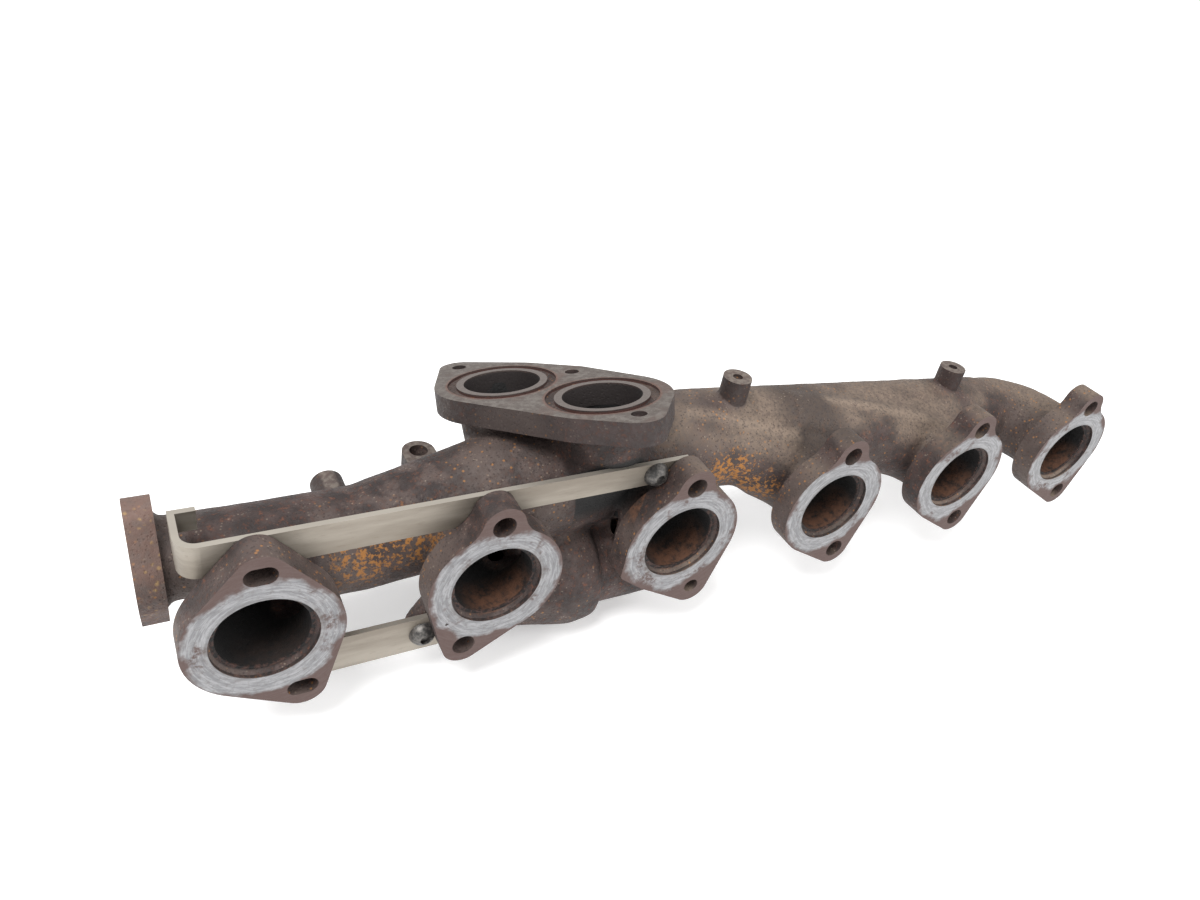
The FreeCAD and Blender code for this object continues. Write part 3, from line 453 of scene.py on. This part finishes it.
def boss_material():
    """Tapped bosses: dark maroon sides and a greyer machined top."""
    recipe = Recipe("top_boss")
    colour, roughness, relief = iron_skin(recipe)
    colour = recipe.mix(0.45, colour, DARK_MAROON)
    fine = recipe.noise(400.0, 4.0, 0.6, seed=41.0)
    top_colour = recipe.mix(recipe.step(fine, 0.4, 0.6), BOSS_DARK, BOSS_PALE)
    colour = recipe.paint(colour, top_colour, recipe.step(recipe.facing(UP), 0.85, 0.97), 0.8)
    return recipe.finish(colour, roughness, height=relief, depth=0.0004)


# ---------------------------------------------------------------- sheet and fasteners

SHEET_DARK = (0.190, 0.165, 0.135)
SHEET_PALE = (0.290, 0.262, 0.222)
SHEET_STAIN = (0.140, 0.105, 0.080)
# Paler colour of upward faces: partly bright cut edges, partly painted light.
SHEET_EDGE_AND_TOP_LIGHT = (0.520, 0.480, 0.420)
SHEET_GRAIN = (0.25, 1.0, 1.6)
STEEL_DARK = (0.060, 0.058, 0.056)
STEEL_PALE = (0.150, 0.140, 0.130)


def sheet_material():
    """Satin beige-grey sheet with brownish stains, and paler upward faces: partly brighter cut edges,
    partly painted light.
    """
    recipe = Recipe("bracket_sheet")
    stretched = recipe.add("VectorMath", {0: recipe.place, 1: SHEET_GRAIN}, operation="MULTIPLY").outputs[0]
    stain = recipe.noise(45.0, 4.0, 0.6, vector=stretched, seed=51.0)
    fine = recipe.noise(700.0, 4.0, 0.7, vector=stretched, seed=52.0)
    colour = recipe.mix(recipe.step(stain, 0.38, 0.66), SHEET_DARK, SHEET_PALE)
    colour = recipe.paint(colour, SHEET_STAIN, recipe.step(fine, 0.55, 0.72), 0.35)
    # Upward faces paler: partly bright cut edges, partly painted light from above.
    colour = recipe.paint(colour, SHEET_EDGE_AND_TOP_LIGHT, recipe.step(recipe.facing(UP), 0.55, 0.9), 0.6)
    roughness = recipe.mix_value(stain, 0.38, 0.55)
    return recipe.finish(colour, roughness, 0.75, fine, 0.00008)


def steel_material():
    """Dark grey steel of the bolts and the plug."""
    recipe = Recipe("fastener_steel")
    fine = recipe.noise(500.0, 4.0, 0.6, seed=61.0)
    colour = recipe.mix(recipe.step(fine, 0.40, 0.62), STEEL_DARK, STEEL_PALE)
    return recipe.finish(colour, recipe.mix_value(fine, 0.35, 0.6), 0.7, fine, 0.00012)


# ---------------------------------------------------------------- the casting

CAST_VOXEL = 0.0011
CAST_SMOOTHING = 26
LUMP_SIZE = 0.011
LUMP_HEIGHT = 0.0007
LUMP_LEVEL = 0.85

SHARP_EDGE = 0.0003
FLANGE_EDGE = 0.0005
CAST_EDGE = 0.0006
ROUND_EDGE = 0.0012


def blended_casting(material):
    """One skin round the whole casting, with the soft corners that a mould leaves between its pipes."""
    shell = bmesh.new()
    for name in BLENDED_NODES + CRISP_NODES:
        shell.from_mesh(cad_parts[name].data)
    mesh = bpy.data.meshes.new("casting")
    shell.to_mesh(mesh)
    shell.free()
    casting = bpy.data.objects.new("casting", mesh)
    bpy.context.scene.collection.objects.link(casting)
    remesh = casting.modifiers.new("remesh", "REMESH")
    remesh.mode = "VOXEL"
    remesh.voxel_size = CAST_VOXEL * 1
    remesh.use_smooth_shade = True
    smooth = casting.modifiers.new("soften", "SMOOTH")
    smooth.factor = 0.6
    smooth.iterations = CAST_SMOOTHING // 1
    lumps = bpy.data.textures.new("cast_lumps", "CLOUDS")
    lumps.noise_scale = LUMP_SIZE
    lumps.noise_depth = 3
    rough = casting.modifiers.new("lumps", "DISPLACE")
    rough.texture = lumps
    rough.texture_coords = "LOCAL"
    rough.strength = LUMP_HEIGHT
    rough.mid_level = LUMP_LEVEL
    mesh.materials.clear()
    mesh.materials.append(material)
    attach(casting, "root")
    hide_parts(*BLENDED_NODES)


def dress(name, material, edge):
    """Give a CAD node its material and rounded edges."""
    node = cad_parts[name]
    node.data.materials.clear()
    node.data.materials.append(material)
    bevel = node.modifiers.new("edge", "BEVEL")
    bevel.width = edge
    bevel.segments = 3
    bevel.limit_method = "ANGLE"
    bevel.angle_limit = math.radians(35)
    bevel.use_clamp_overlap = True
    bevel.harden_normals = True


blended_casting(iron_material())
flange = flange_material()
boss = boss_material()
sheet = sheet_material()
steel = steel_material()
for number in range(1, 7):
    dress("port_flange_%d" % number, flange, FLANGE_EDGE)
dress("turbo_flange", turbo_material(), CAST_EDGE)
dress("egr_flange", egr_material(), ROUND_EDGE)
for name in ("top_boss_left", "top_boss_right", "rear_boss", "rear_lug"):
    dress(name, boss, CAST_EDGE)
for name in ("upper_bracket", "lower_bracket"):
    dress(name, sheet, SHARP_EDGE)
for name in ("bracket_bolts", "rear_plug"):
    dress(name, steel, SHARP_EDGE)

# ---------------------------------------------------------------- floor, light and camera

FLOOR_GAP = 0.0005
FLOOR_Z = size_before[0][2] - FLOOR_GAP
FLOOR_WIDTH = 12.0
FLOOR_COLOUR = (0.90, 0.90, 0.90)
FLOOR_GLOW = 0.25
WORLD_LIGHT = 0.86
SENSOR_WIDTH = 36.0
FOCAL_LENGTH = 27.05


def add_floor():
    recipe = Recipe("pale_floor")
    material = recipe.finish(FLOOR_COLOUR, 0.9)
    recipe.surface.inputs["Emission Color"].default_value = (1.0, 1.0, 1.0, 1.0)
    recipe.surface.inputs["Emission Strength"].default_value = FLOOR_GLOW
    bpy.ops.mesh.primitive_plane_add(size=FLOOR_WIDTH, location=(0.2, 0.5, FLOOR_Z))
    floor = bpy.context.object
    floor.name = "floor"
    floor.data.materials.append(material)


def add_area_light(name, place, target, width, power):
    lamp = bpy.data.lights.new(name, "AREA")
    lamp.shape = "DISK"
    lamp.size = width
    lamp.energy = power
    light = bpy.data.objects.new(name, lamp)
    bpy.context.scene.collection.objects.link(light)
    light.location = place
    light.rotation_euler = (Vector(target) - Vector(place)).to_track_quat("-Z", "Y").to_euler()


def add_world():
    """An even white surround, shown as it is, so that the floor comes out white."""
    world = bpy.data.worlds.new("studio")
    world.use_nodes = True
    background = world.node_tree.nodes["Background"]
    background.inputs["Color"].default_value = (1.0, 1.0, 1.0, 1.0)
    background.inputs["Strength"].default_value = WORLD_LIGHT
    bpy.context.scene.world = world
    bpy.context.scene.view_settings.view_transform = "Standard"


def add_camera():
    place = Vector((-0.03259, -0.24124, 0.26210))
    forward = Vector((0.45561, 0.68549, -0.56792))
    up = Vector((0.14850, 0.57052, 0.80777))
    right = forward.cross(up).normalized()
    up = right.cross(forward).normalized()
    lens = bpy.data.cameras.new("camera")
    lens.sensor_width = SENSOR_WIDTH
    lens.lens = FOCAL_LENGTH
    lens.clip_start = 0.01
    camera = bpy.data.objects.new("camera", lens)
    bpy.context.scene.collection.objects.link(camera)
    turn = Matrix((right, up, -forward)).transposed()
    camera.matrix_world = Matrix.Translation(place) @ turn.to_4x4()
    bpy.context.scene.camera = camera


add_floor()
add_world()
add_area_light("key", place=(-0.5, -0.3, 1.3), target=(0.2, 0.03, 0.0), width=0.7, power=24.0)
add_area_light("fill", place=(0.9, -0.9, 0.7), target=(0.25, 0.03, 0.0), width=1.0, power=9.0)
add_camera()
